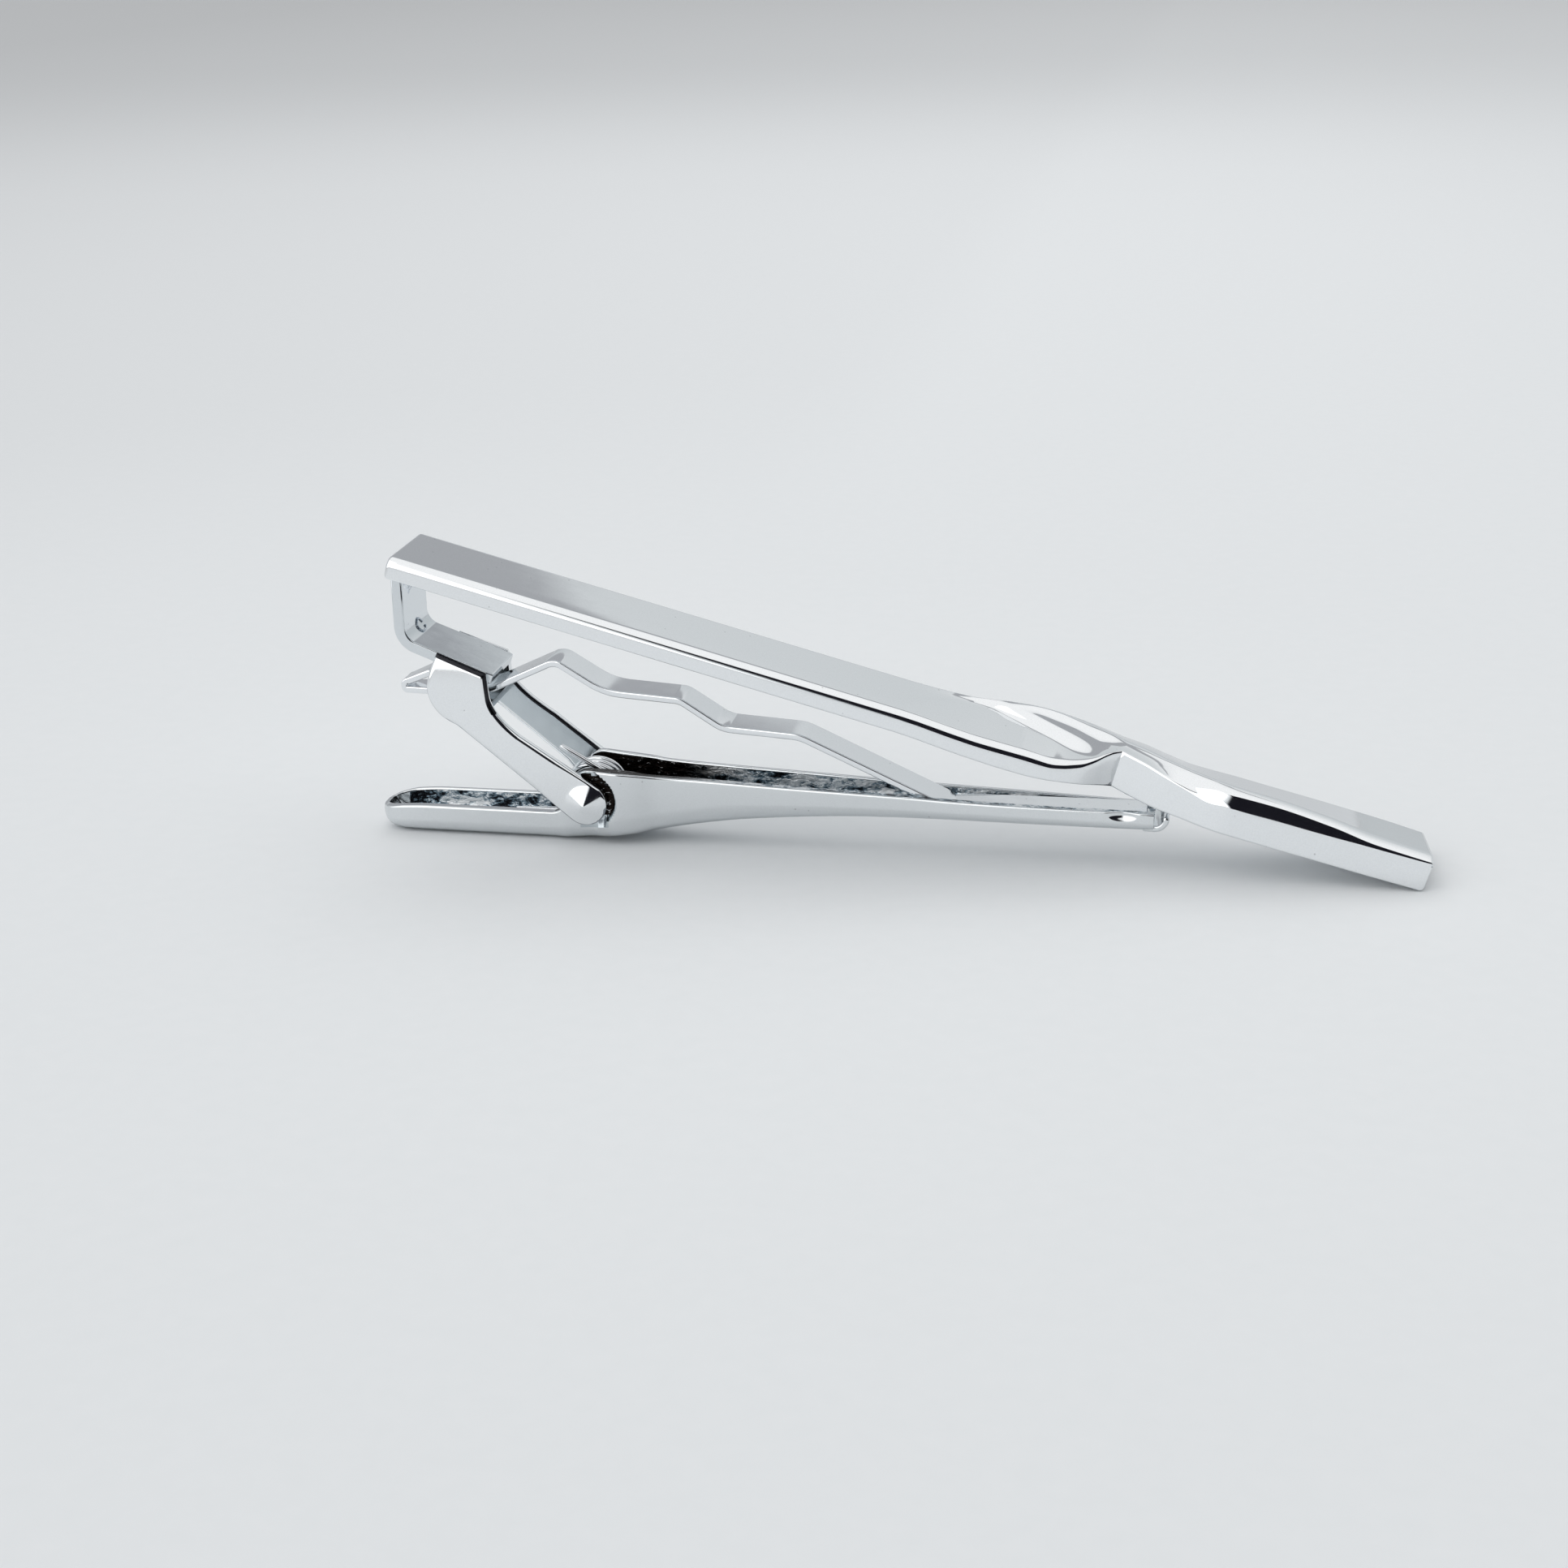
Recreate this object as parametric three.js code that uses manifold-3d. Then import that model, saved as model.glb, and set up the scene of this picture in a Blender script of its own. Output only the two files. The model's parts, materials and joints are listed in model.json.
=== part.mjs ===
// Spring tie clip. A front bar carries a bent bracket and a cradle; a sprung channel lever turns in the
// cradle and closes its tip on the bar's underside, and a wavy gripper leaf runs from the lever's tip,
// through the cradle, to a hooked stop. Millimetres, +Z up, resting as it lies on a table: +X runs along
// the clip from the bracket end to the bar's free end, and -Y is the side that the notch opens to.
import * as THREE from "three";
import { mergeVertices } from "three/addons/utils/BufferGeometryUtils.js";
import Module from "manifold-3d";

const wasm = await Module();
wasm.setup();

// ---- driving dimensions -------------------------------------------------------------------------
const BAR = { length: 58, halfWidth: 2.88, thick: 1.2, slopeDeg: 15.2, startZ: 16.37, edge: 0.3 };
const PIVOT = { x: 10.35, z: 2.54, radius: 0.6, clearance: 0.06 };
const BRACKET = { thick: 0.62, halfWidth: 2.05 };
const CRADLE = {
  inner: 2.1,
  plate: 0.5,
  endRadius: 1.22,
  socketDepth: 0.25,
  coneRadius: 1.12,
  coneHeight: 0.42,
};
const LEVER = { wall: 0.34, cornerRadius: 0.75, recessRadius: 1.46, recessHalf: 2.02 };
const LEAF = { thick: 0.38, halfWidth: 1.22 };
const SPRING = { radius: 1.6, wire: 0.17, turns: 4, pitch: 0.54 };
const FLEX = { x: 30.4, z: 2.7 };
const TOUCH_GAP = 0.03; // between pieces that are soldered, crimped or resting on each other

// ---- small helpers ------------------------------------------------------------------------------
const rad = THREE.MathUtils.degToRad;
const point = (x, y) => new THREE.Vector2(x, y);

// A closed mesh geometry as a manifold-3d solid, and back.
function solidOf(geometry) {
  const bare = geometry.clone();
  bare.deleteAttribute("normal");
  bare.deleteAttribute("uv");
  const merged = mergeVertices(bare, 1e-4);
  const vertProperties = new Float32Array(merged.attributes.position.array);
  const triVerts = new Uint32Array(merged.index.array);
  return new wasm.Manifold(new wasm.Mesh({ numProp: 3, vertProperties, triVerts }));
}

function geometryOf(solid) {
  const { vertProperties, triVerts } = solid.getMesh();
  const geometry = new THREE.BufferGeometry();
  geometry.setAttribute("position", new THREE.BufferAttribute(vertProperties, 3));
  geometry.setIndex(new THREE.BufferAttribute(triVerts, 1));
  geometry.computeVertexNormals();
  return geometry;
}

const join = (...geometries) => geometryOf(geometries.map(solidOf).reduce((a, b) => a.add(b)));

const cut = (base, ...tools) =>
  geometryOf(tools.map(solidOf).reduce((left, tool) => left.subtract(tool), solidOf(base)));

// A side profile, drawn in x and z, made `width` deep from its middle at y.
function acrossFrom(shape, width, y = 0) {
  const geometry = new THREE.ExtrudeGeometry(shape, { depth: width, bevelEnabled: false, curveSegments: 10 });
  return geometry.rotateX(Math.PI / 2).translate(0, y + width / 2, 0);
}

const shapeFrom = (pairs) => new THREE.Shape(pairs.map(([x, z]) => point(x, z)));

// A cylinder whose axis lies across the clip.
function roundAcross(radius, width, x, y, z, sides = 36) {
  return new THREE.CylinderGeometry(radius, radius, width, sides).translate(x, y, z);
}

// The polyline `corners` ([x, z, radius]) with every inner corner rounded by an arc.
function roundedPath(corners) {
  const path = [point(corners[0][0], corners[0][1])];
  for (let i = 1; i < corners.length - 1; i++) {
    const corner = point(corners[i][0], corners[i][1]);
    const back = point(corners[i - 1][0], corners[i - 1][1]).sub(corner).normalize();
    const ahead = point(corners[i + 1][0], corners[i + 1][1]).sub(corner).normalize();
    const turn = Math.PI - Math.acos(THREE.MathUtils.clamp(back.dot(ahead), -1, 1));
    const radius = corners[i][2];
    const reach = radius * Math.tan(turn / 2);
    const side = Math.sign(back.cross(ahead));
    const start = corner.clone().addScaledVector(back, reach);
    const centre = start.clone().add(point(-back.y, back.x).multiplyScalar(side * radius));
    const steps = Math.max(2, Math.ceil(turn / rad(14)));
    for (let k = 0; k <= steps; k++)
      path.push(start.clone().rotateAround(centre, (-side * turn * k) / steps));
  }
  const last = corners.at(-1);
  return [...path, point(last[0], last[1])];
}

// The outline of a sheet-metal strip of the given thickness that follows a rounded path.
function stripShape(corners, thick) {
  const path = roundedPath(corners);
  const offset = (sign) =>
    path.map((here, i) => {
      const before = path[Math.max(0, i - 1)];
      const after = path[Math.min(path.length - 1, i + 1)];
      const along = after.clone().sub(before).normalize();
      return here.clone().add(point(-along.y, along.x).multiplyScalar((sign * thick) / 2));
    });
  return new THREE.Shape([...offset(1), ...offset(-1).reverse()]);
}

// A solid through equal-sized rings of points, one after the other, closed at each end by a fan.
function loft(rings) {
  const count = rings[0].length;
  const lastStart = (rings.length - 1) * count;
  const firstMiddle = lastStart + count;
  const middleOf = (ring) =>
    ring.reduce((sum, v) => sum.add(v), new THREE.Vector3()).divideScalar(count);
  const faces = [];
  for (let i = 0; i < count; i++) {
    const next = (i + 1) % count;
    faces.push([firstMiddle, i, next], [firstMiddle + 1, lastStart + next, lastStart + i]);
    for (let start = 0; start < lastStart; start += count) {
      const a = start + i;
      const b = start + next;
      faces.push([a, a + count, b], [b, a + count, b + count]);
    }
  }
  const geometry = new THREE.BufferGeometry();
  const corners = [...rings.flat(), middleOf(rings[0]), middleOf(rings.at(-1))];
  const numbers = corners.flatMap((v) => v.toArray());
  geometry.setAttribute("position", new THREE.Float32BufferAttribute(numbers, 3));
  return geometry.setIndex(faces.flat());
}

// Columns of a table read at any station, with an even curve between its rows and no overshoot.
function columnsOf(rows) {
  const slope = (i, c) => {
    if (i === 0 || i === rows.length - 1) return 0;
    const before = (rows[i][c] - rows[i - 1][c]) / (rows[i][0] - rows[i - 1][0]);
    const after = (rows[i + 1][c] - rows[i][c]) / (rows[i + 1][0] - rows[i][0]);
    return before * after <= 0 ? 0 : (2 * before * after) / (before + after);
  };
  return (at) => {
    const x = THREE.MathUtils.clamp(at, rows[0][0], rows.at(-1)[0]);
    const i = Math.min(rows.length - 2, rows.findLastIndex((row) => row[0] <= x));
    const gap = rows[i + 1][0] - rows[i][0];
    const t = (x - rows[i][0]) / gap;
    return rows[i].slice(1).map((_, k) => {
      const c = k + 1;
      const h00 = (1 + 2 * t) * (1 - t) ** 2;
      const h01 = t * t * (3 - 2 * t);
      const tangents = slope(i, c) * t * (1 - t) ** 2 - slope(i + 1, c) * t * t * (1 - t);
      return h00 * rows[i][c] + h01 * rows[i + 1][c] + tangents * gap;
    });
  };
}

function stations(from, to, step) {
  const count = Math.ceil((to - from) / step);
  return Array.from({ length: count + 1 }, (_, i) => from + ((to - from) * i) / count);
}

// ---- materials ----------------------------------------------------------------------------------
const chrome = new THREE.MeshStandardMaterial({ color: 0xdfe2e4, roughness: 0.08, metalness: 1 });
const chromeInside = new THREE.MeshStandardMaterial({ color: 0xc4ccd2, roughness: 0.2, metalness: 1 });
const springSteel = new THREE.MeshStandardMaterial({ color: 0xd2d5d8, roughness: 0.16, metalness: 1 });
const solderTin = new THREE.MeshStandardMaterial({ color: 0xbfc3c7, roughness: 0.35, metalness: 1 });

// ---- the bar ------------------------------------------------------------------------------------
const slope = rad(BAR.slopeDeg);
const barTop = (s, y, h) =>
  new THREE.Vector3(
    s * Math.cos(slope) + h * Math.sin(slope),
    y,
    BAR.startZ - s * Math.sin(slope) + h * Math.cos(slope),
  );
const underBar = (x) => BAR.startZ - BAR.thick / Math.cos(slope) - x * Math.tan(slope);

// Along the bar: y and height of the front edge, of the foot and brow of the first rise, of the shelf
// above it and of the crest, then the heights of the back edge and of the bottom.
// The front edge curves in to the crease at 40.9 and comes out again under the second section.
const barShape = columnsOf([
  [0, -2.88, 0, -1, 0, 0.4, 0, 1.5, 0, 2.2, 0, 0, -BAR.thick],
  [29, -2.88, 0, -1, 0, 0.4, 0, 1.5, 0, 2.2, 0, 0, -BAR.thick],
  [32, -2.88, -0.15, 2, -0.03, 2.2, -0.02, 2.35, 0, 2.5, 0.05, 0.1, -1.36],
  [33.4, -2.88, -0.2, 2.25, -0.04, 2.35, 0.05, 2.45, 0.12, 2.55, 0.22, 0.3, -1.42],
  [34.7, -2.88, -0.18, 1.75, -0.04, 2, 0.3, 2.2, 0.42, 2.5, 0.52, 0.52, -1.45],
  [36, -2.88, -0.16, 1, -0.04, 1.5, 0.41, 2.2, 0.52, 2.5, 0.72, 0.64, -1.44],
  [37.3, -2.85, -0.2, 0.28, -0.05, 0.85, 0.4, 1.9, 0.52, 2.4, 0.82, 0.67, -1.36],
  [38.2, -2.75, -0.05, -0.5, -0.04, 0.4, 0.41, 1.55, 0.53, 2.1, 0.83, 0.65, -1.25],
  [39, -2.45, 0.12, -1.1, 0.08, 0, 0.39, 1.1, 0.53, 1.8, 0.84, 0.6, -1.21],
  [39.6, -2.05, 0.32, -1.3, 0.29, -0.5, 0.36, 0.8, 0.56, 1.4, 0.9, 0.54, -1.21],
  [40.3, -1.52, 0.7, -1.15, 0.68, -0.6, 0.66, 0.3, 0.66, 1, 0.96, 0.46, -1.21],
  [40.9, -1.1, 0.86, -0.9, 0.87, -0.6, 0.87, -0.1, 0.88, 0.5, 0.98, 0.4, -1.22],
  [42.2, -1.7, 0.79, -1.5, 0.8, -1.1, 0.82, -0.6, 0.86, 0, 1, 0.33, -1.3],
  [43.4, -2.15, 0.6, -1.95, 0.63, -1.6, 0.7, -1, 0.84, -0.5, 0.97, 0.16, -1.35],
  [45, -2.5, 0.28, -2.35, 0.47, -2.2, 0.62, -1.7, 0.87, -1.2, 1, 0, -1.36],
  [46.2, -2.76, 0, -2.68, 0.42, -2.5, 0.82, -2.1, 0.99, -1.7, 1.06, 0.02, -1.38],
  [47.3, -2.88, 0.1, -2.84, 0.22, -2.66, 0.9, -2.3, 1.02, -1.9, 1.07, 0.06, -1.37],
  [49.4, -2.88, 0.13, -2.84, 0.25, -2.7, 0.96, -2.35, 1.06, -1.9, 1.08, 0.08, -1.35],
  [52.4, -2.88, 0.22, -2.84, 0.34, -2.74, 0.82, -2.4, 0.93, -2, 0.96, 0.12, -1.3],
  [54.9, -2.88, 0.27, -2.85, 0.38, -2.77, 0.58, -2.5, 0.69, -2.1, 0.74, 0.13, -1.25],
  [58, -2.88, 0.35, -2.84, 0.44, -2.76, 0.52, -2.5, 0.63, -2.2, 0.68, 0.06, -BAR.thick],
]);

function barRing(s, shrink) {
  const columns = barShape(s);
  const [backH, tableBottom] = columns.slice(-2);
  const [front, foot, ...ridges] = [0, 2, 4, 6, 8].map((c) => point(columns[c], columns[c + 1] - shrink));
  front.x += shrink;
  foot.x = Math.max(foot.x, front.x + 0.03);
  const bottom = tableBottom + shrink;
  const back = BAR.halfWidth;
  const towardsFoot = foot.distanceTo(front);
  const e = Math.min(BAR.edge, towardsFoot / 3);
  const outline = [
    point(front.x, bottom),
    point(front.x, front.y - e),
    front.clone().lerp(foot, e / towardsFoot),
    foot,
    ...ridges,
    point(back - BAR.edge, backH - shrink).lerp(ridges.at(-1), 0.15),
    point(back - shrink, backH - BAR.edge),
    point(back - shrink, bottom),
  ];
  return outline.map((corner) => barTop(s, corner.x, corner.y));
}

function frontBar() {
  const inner = [...stations(0.25, 28, 4), ...stations(29, 47.3, 0.42), ...stations(48.2, 57.75, 0.9)];
  return loft([barRing(0, 0.2), ...inner.map((s) => barRing(s, 0)), barRing(BAR.length, 0.2)]);
}

// ---- the bracket, its solder and the cradle -----------------------------------------------------
const LEG_SLOPE = 0.381; // fall of the bracket's lower leg per millimetre
const legTop = (x) => 11.73 - LEG_SLOPE * x;

function bracketPost() {
  const thick = BRACKET.thick;
  const x = 0.12;
  const middle = (at) => legTop(at) - thick * 0.535;
  const post = stripShape(
    [
      [x, underBar(x) - TOUCH_GAP - 0.1],
      [x + 0.02, middle(x) + 0.02, 1.25],
      [5.25, middle(5.25)],
    ],
    thick,
  );
  return acrossFrom(post, 2 * BRACKET.halfWidth);
}

function solderFillet() {
  const left = 0.12 + BRACKET.thick / 2 + TOUCH_GAP + 0.02;
  const fillet = new THREE.Shape();
  const right = left + 1.1;
  fillet.moveTo(left, underBar(left) - 0.06);
  fillet.lineTo(left, underBar(left) - 1.1);
  fillet.quadraticCurveTo(left + 0.18, underBar(left) - 0.35, right, underBar(right) - 0.06);
  return acrossFrom(fillet, 2 * BRACKET.halfWidth - 0.5);
}

// One side plate of the cradle: the crimped head round the bracket's leg, and the arm down to the pivot.
// The rear plate is trimmed narrower along the arm's lower edge; `elbow` is where the arm meets its head.
function platePath(trim, elbow) {
  const towards = rad(-39.5); // the arm's direction, from its head to the pivot
  const along = point(Math.cos(towards), Math.sin(towards));
  const out = point(along.y, -along.x); // to the arm's lower left
  const pivot = point(PIVOT.x, PIVOT.z);
  const shape = new THREE.Shape();
  shape.moveTo(2.25, legTop(2.25) + 0.02);
  shape.quadraticCurveTo(1.78, 10, 1.62, 9.1);
  shape.quadraticCurveTo(1.55, 8.1, 2.4 + 0.3 * trim, 7.3 + 0.3 * trim);
  const lower = pivot.clone().addScaledVector(along, -8.2).addScaledVector(out, CRADLE.endRadius - trim);
  shape.lineTo(lower.x, lower.y);
  const startAngle = Math.atan2(out.y, out.x);
  if (trim > 0) {
    const near = pivot.clone().addScaledVector(along, -2.2).addScaledVector(out, CRADLE.endRadius - trim);
    shape.lineTo(near.x, near.y);
  }
  shape.absarc(PIVOT.x, PIVOT.z, CRADLE.endRadius, startAngle, startAngle + rad(176), false);
  shape.lineTo(elbow.x, elbow.y);
  shape.quadraticCurveTo(5.15, 7.6 + 0.5 * trim, 5.12, 8.7);
  shape.lineTo(5, legTop(5) + 0.02);
  return shape;
}

function cradle() {
  const middle = CRADLE.inner + CRADLE.plate / 2;
  const web = shapeFrom([
    [2.25, 7.9],
    [2.45, 7.42],
    [4.75, 7.3],
    [4.82, 7.74],
  ]);
  const rootDepth = 0.05;
  const cones = [-1, 1].map((side) => {
    const height = CRADLE.coneHeight + rootDepth;
    const cone = new THREE.ConeGeometry(CRADLE.coneRadius, height, 32).rotateX(side > 0 ? 0 : Math.PI);
    const face = CRADLE.inner + CRADLE.plate;
    return cone.translate(PIVOT.x, side * (face - rootDepth + height / 2), PIVOT.z);
  });
  const body = join(
    acrossFrom(platePath(0, point(6.75, 6.36)), CRADLE.plate, -middle),
    acrossFrom(platePath(0.5, point(7.6, 6.25)), CRADLE.plate, middle),
    acrossFrom(web, 2 * middle),
    ...cones,
  );
  const socketWidth = 2 * (CRADLE.inner + CRADLE.socketDepth);
  const socket = roundAcross(PIVOT.radius + PIVOT.clearance, socketWidth, PIVOT.x, 0, PIVOT.z);
  return cut(body, socket);
}

function pivotPin() {
  const half = CRADLE.inner + CRADLE.socketDepth - TOUCH_GAP;
  const chamfer = 0.1;
  const profile = [
    [0, -half],
    [PIVOT.radius - chamfer, -half],
    [PIVOT.radius, chamfer - half],
    [PIVOT.radius, half - chamfer],
    [PIVOT.radius - chamfer, half],
    [0, half],
  ];
  const pin = new THREE.LatheGeometry(profile.map(([r, y]) => point(r, y)), 36);
  return pin.translate(PIVOT.x, 0, PIVOT.z);
}

// ---- the lever ----------------------------------------------------------------------------------
// Along the lever: bottom, rim and half width. The pinch tab is low, the ears at the pivot are high,
// and the channel tapers to the tip.
const leverShape = columnsOf([
  [-2, 0.95, 1.3, 0.45],
  [-1.8, 0.5, 1.36, 0.95],
  [-1.3, 0.16, 1.46, 1.4],
  [-0.5, 0.02, 1.6, 1.64],
  [1, 0, 1.68, 1.7],
  [8.2, 0, 1.7, 1.76],
  [9, 0.02, 2.1, 1.94],
  [9.8, 0.1, 4.1, 2],
  [10.4, 0.18, 4.32, 2.06],
  [11.3, 0.28, 4.35, 2.3],
  [11.9, 0.35, 4.33, 2.36],
  [12.9, 0.48, 4.25, 2.24],
  [14.2, 0.7, 4.04, 1.84],
  [16.5, 1.13, 3.93, 1.72],
  [19, 1.5, 3.82, 1.7],
  [22, 1.8, 3.7, 1.7],
  [25, 2, 3.6, 1.7],
  [28, 2.1, 3.5, 1.7],
  [31, 2.15, 3.38, 1.75],
  [35, 2.17, 3.32, 1.84],
  [41.2, 2.2, 3.28, 1.9],
  [41.9, 2.32, 3.22, 1.78],
  [42.2, 2.55, 3.18, 1.55],
  [42.36, 2.9, 3.14, 1.3],
]);

// The rear wall's rim is a little lower than the front one behind the swelling.
const rearRim = (x) => (x > 10.4 ? Math.max(4.31 - 0.1 * (x - 10.6), 4.02 - 0.047 * (x - 13.5)) : Infinity);

function leverRing(x, inset, rimRise) {
  const [bottom, rim, half] = leverShape(x);
  const low = bottom + inset;
  const high = rim + rimRise;
  const side = half - inset;
  const r = Math.min(LEVER.cornerRadius - inset, side * 0.6, (rim - low) * 0.7);
  const arc = [0, 1, 2, 3, 4].map((k) => {
    const turn = rad(k * 22.5);
    return [side - r + r * Math.sin(turn), low + r - r * Math.cos(turn)];
  });
  const front = [...arc, [side, high]].map(([y, z]) => [-y, z]);
  const flat = LEVER.recessHalf - inset; // the back of the channel stays flat where the front swells
  const rear = Math.min(rim, rearRim(x)) + rimRise;
  const back = [...arc, [side, rear]].map(([y, z]) => [Math.min(y, flat), z]);
  return [...front, ...back.reverse()].map(([y, z]) => new THREE.Vector3(x, y, z));
}

function leverChannel() {
  const xs = [
    ...stations(-2, 1, 0.2),
    ...stations(1.6, 8.2, 2.2),
    ...stations(8.5, 14.8, 0.3),
    ...stations(15.6, 40.8, 1.4),
    ...stations(41.1, 42.36, 0.14),
  ];
  const innerXs = xs.filter((x) => x > -1.65 && x < 41.95);
  const outside = loft(xs.map((x) => leverRing(x, 0, 0)));
  const hollow = loft(innerXs.map((x) => leverRing(x, LEVER.wall, 2)));
  const bore = roundAcross(PIVOT.radius + PIVOT.clearance, 6, PIVOT.x, 0, PIVOT.z);
  const recesses = [-1, 1].map((side) =>
    roundAcross(LEVER.recessRadius, 1, PIVOT.x, side * (LEVER.recessHalf + 0.5), PIVOT.z, 48),
  );
  const tipNotches = [-1, 1].map((side) =>
    new THREE.BoxGeometry(0.28, 0.6, 1).translate(41.62, side * 1.8, 3.15),
  );
  return cut(outside, hollow, bore, ...recesses, ...tipNotches);
}

// ---- the return spring --------------------------------------------------------------------------
function torsionSpring() {
  const { radius, wire, turns, pitch } = SPRING;
  const onCoil = (angle, y) =>
    new THREE.Vector3(PIVOT.x + radius * Math.cos(angle), y, PIVOT.z + radius * Math.sin(angle));
  const first = rad(60);
  const last = rad(-90) - (turns - 1) * 2 * Math.PI;
  const sweep = last - first;
  const startY = (-pitch * -sweep) / (4 * Math.PI);
  const count = 20 * turns;
  const coil = Array.from({ length: count + 1 }, (_, i) =>
    onCoil(first + (sweep * i) / count, startY - (2 * startY * i) / count),
  );
  const cradleLeg = [2.9, 1.9, 0.9].map((reach) => {
    const start = onCoil(first, startY);
    return start.add(new THREE.Vector3(-Math.sin(first), 0, Math.cos(first)).multiplyScalar(reach));
  });
  const leverLeg = [1, 3, 5].map((reach) => {
    const start = onCoil(last, -startY);
    return start.add(new THREE.Vector3(-reach, 0, -0.03 * reach));
  });
  const path = new THREE.CatmullRomCurve3([...cradleLeg, ...coil, ...leverLeg], false, "centripetal");
  const section = new THREE.Shape(
    Array.from({ length: 8 }, (_, i) => {
      const a = (i * Math.PI) / 4;
      return point(wire * Math.cos(a), wire * Math.sin(a));
    }),
  );
  return new THREE.ExtrudeGeometry(section, { steps: 150, extrudePath: path, bevelEnabled: false });
}

// ---- the gripper leaf ---------------------------------------------------------------------------
// One strip of spring steel, in two nodes that meet where it bends: the wave, and the foot held in the tip.
function gripperWave() {
  const wave = stripShape(
    [
      [1.45, 9.36],
      [-0.3, 8.58, 0.22],
      [-0.22, 8.2, 0.18],
      [3.6, 8.28, 1.5],
      [5.1, 8.66, 0.9],
      [8.6, 10.3, 0.9],
      [11.35, 8.62, 4],
      [15.6, 8.32, 1.3],
      [17.95, 6.82, 2],
      [22.25, 6.52, 2.5],
      [FLEX.x - 0.5, FLEX.z + 0.27],
    ],
    LEAF.thick,
  );
  return acrossFrom(wave, 2 * LEAF.halfWidth);
}

function gripperFoot() {
  const foot = stripShape(
    [
      [FLEX.x - 0.38, FLEX.z + 0.2],
      [FLEX.x + 0.1, FLEX.z + 0.02, 0.5],
      [41.1, 2.76],
    ],
    LEAF.thick,
  );
  return acrossFrom(foot, 2 * LEAF.halfWidth);
}

// ---- assembly -----------------------------------------------------------------------------------
const PIECES = [
  ["front_bar", frontBar, chrome],
  ["bracket", bracketPost, chrome],
  ["solder_fillet", solderFillet, solderTin],
  ["cradle", cradle, chrome],
  ["pivot_pin", pivotPin, springSteel],
  ["lever", leverChannel, chromeInside],
  ["torsion_spring", torsionSpring, springSteel],
  ["gripper_wave", gripperWave, springSteel],
  ["gripper_foot", gripperFoot, springSteel],
];

const clip = new THREE.Group();
for (const [name, build, material] of PIECES) {
  const mesh = new THREE.Mesh(build(), material);
  mesh.name = name;
  clip.add(mesh);
}

// The origin is under the middle of the clip, on the surface that it lies on.
const box = new THREE.Box3().setFromObject(clip);
const middle = box.getCenter(new THREE.Vector3());
clip.position.set(-middle.x, -middle.y, -box.min.z);

export default clip;
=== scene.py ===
"""Looks of the spring tie clip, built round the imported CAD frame.

Every piece is drawn in millimetres in the drawing frame of the part: x from the bracket end of the bar,
y across the clip, z up from the table. placed() turns those points into the row frame, in metres.
"""

import json
import math

import bmesh
import bpy
import numpy as np
from mathutils import Matrix, Vector


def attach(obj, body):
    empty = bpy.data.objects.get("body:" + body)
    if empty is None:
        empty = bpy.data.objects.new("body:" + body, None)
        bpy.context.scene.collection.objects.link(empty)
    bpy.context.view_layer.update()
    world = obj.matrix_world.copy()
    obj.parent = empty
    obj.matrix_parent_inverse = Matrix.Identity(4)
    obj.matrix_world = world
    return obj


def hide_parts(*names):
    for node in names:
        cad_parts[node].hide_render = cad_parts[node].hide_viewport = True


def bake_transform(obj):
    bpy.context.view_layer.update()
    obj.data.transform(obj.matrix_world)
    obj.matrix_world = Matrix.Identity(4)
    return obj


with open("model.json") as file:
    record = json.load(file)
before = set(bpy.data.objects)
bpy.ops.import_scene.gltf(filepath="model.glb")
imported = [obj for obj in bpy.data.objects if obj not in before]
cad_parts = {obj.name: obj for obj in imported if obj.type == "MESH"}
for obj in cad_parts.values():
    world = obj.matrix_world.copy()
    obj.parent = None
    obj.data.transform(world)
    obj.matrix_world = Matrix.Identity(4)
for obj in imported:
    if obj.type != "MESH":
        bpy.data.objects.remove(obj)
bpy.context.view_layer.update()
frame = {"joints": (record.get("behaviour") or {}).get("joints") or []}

# ---- dimensions, in millimetres ------------------------------------------------------------------
BAR_LENGTH, BAR_HALF, BAR_THICK = 58.0, 2.88, 1.2
BAR_SLOPE = math.radians(15.2)
BAR_START_Z = 16.37
PIVOT_X, PIVOT_Z = 10.35, 2.54
PIN_RADIUS = 0.6
BRACKET_THICK, BRACKET_HALF, BRACKET_BEND = 0.62, 2.05, 1.25
PLATE_IN, PLATE_OUT = 2.1, 2.6
ARM_END_RADIUS = 1.22
CONE_RADIUS, CONE_HEIGHT = 1.12, 0.42
LEVER_WALL = 0.34
RECESS_RADIUS, RECESS_HALF = 1.52, 2.02
RECESS_SHIFT = (0.1, 0.12)
LEAF_THICK, LEAF_HALF = 0.38, 1.22
COIL_RADIUS, WIRE_RADIUS, COIL_TURNS, COIL_PITCH = 1.6, 0.17, 4, 0.54
FLEX_X, FLEX_Z = 30.4, 2.7
BAR_FALL, LEG_FALL = math.tan(BAR_SLOPE), 0.381  # the drop of the bar and the bracket's leg per millimetre

MM = 0.001
hinge = next(j for j in frame["joints"] if j["name"] == "lever_hinge")
SHIFT_X = hinge["pos_m"][0] / MM - PIVOT_X


def placed(point):
    """A point of the drawing frame, in the row frame in metres."""
    return Vector(((point[0] + SHIFT_X) * MM, point[1] * MM, point[2] * MM))


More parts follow.
